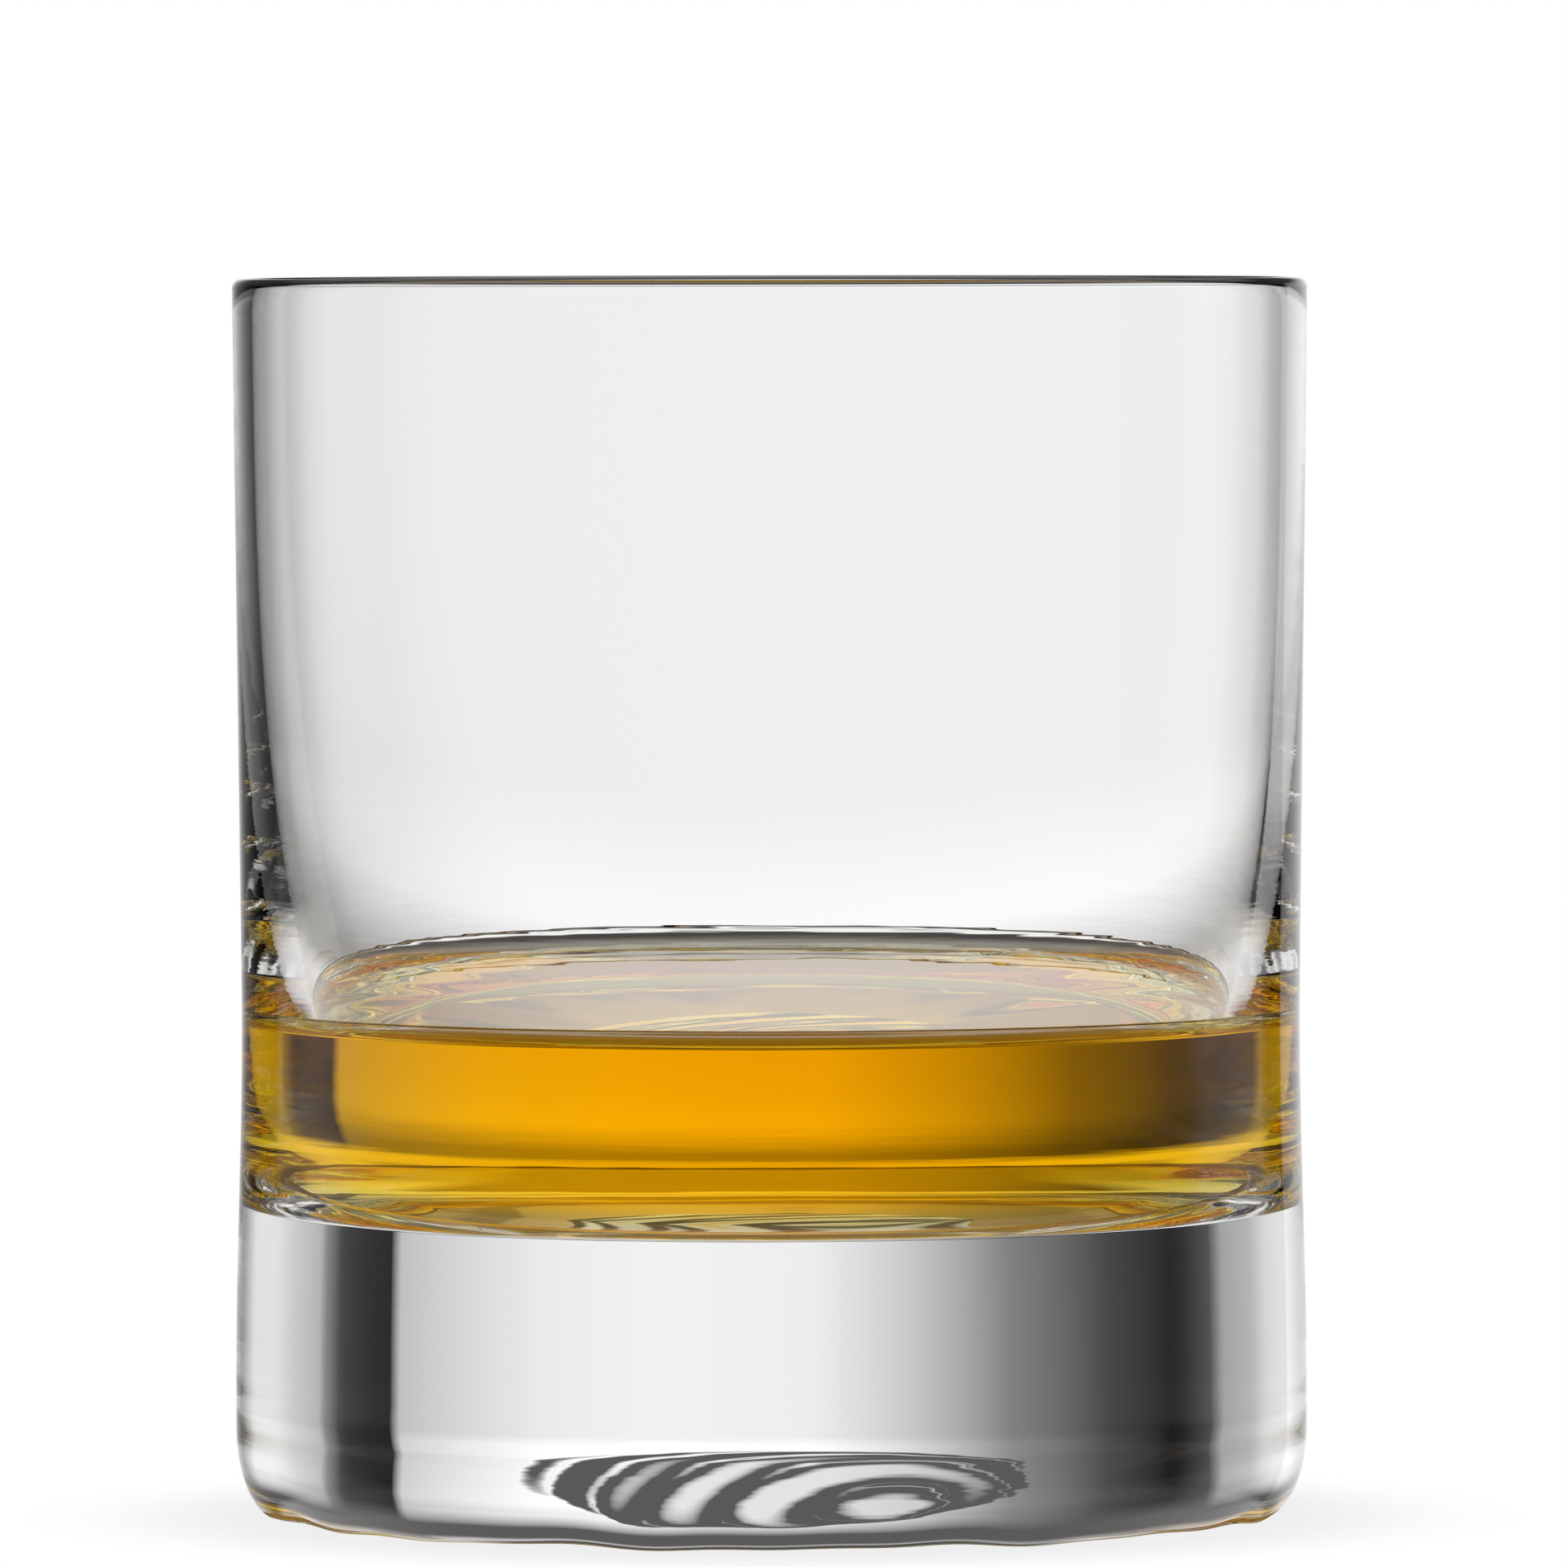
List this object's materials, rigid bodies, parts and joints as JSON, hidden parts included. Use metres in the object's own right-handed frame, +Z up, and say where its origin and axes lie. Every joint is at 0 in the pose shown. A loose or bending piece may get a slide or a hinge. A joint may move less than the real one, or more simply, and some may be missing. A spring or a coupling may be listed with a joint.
{
  "type": "whiskey tumbler",
  "caption": "Straight-sided glass tumbler with a thick solid base, a rippled shallow hollow underneath and a measure of amber whisky inside.",
  "frame": {"origin": "middle of the standing ring, on the surface that the tumbler stands on", "axes": "+Z up along the axis that the glass is turned about, +X to the right and -Y to the front as the picture shows it"},
  "size_m": [0.089, 0.089, 0.1025],
  "materials": {
    "clear_glass": "polished",
    "whisky": "gloss"
  },
  "bodies": {
    "root": {"tumbler": "clear_glass", "whisky": "whisky"}
  },
  "joints": []
}
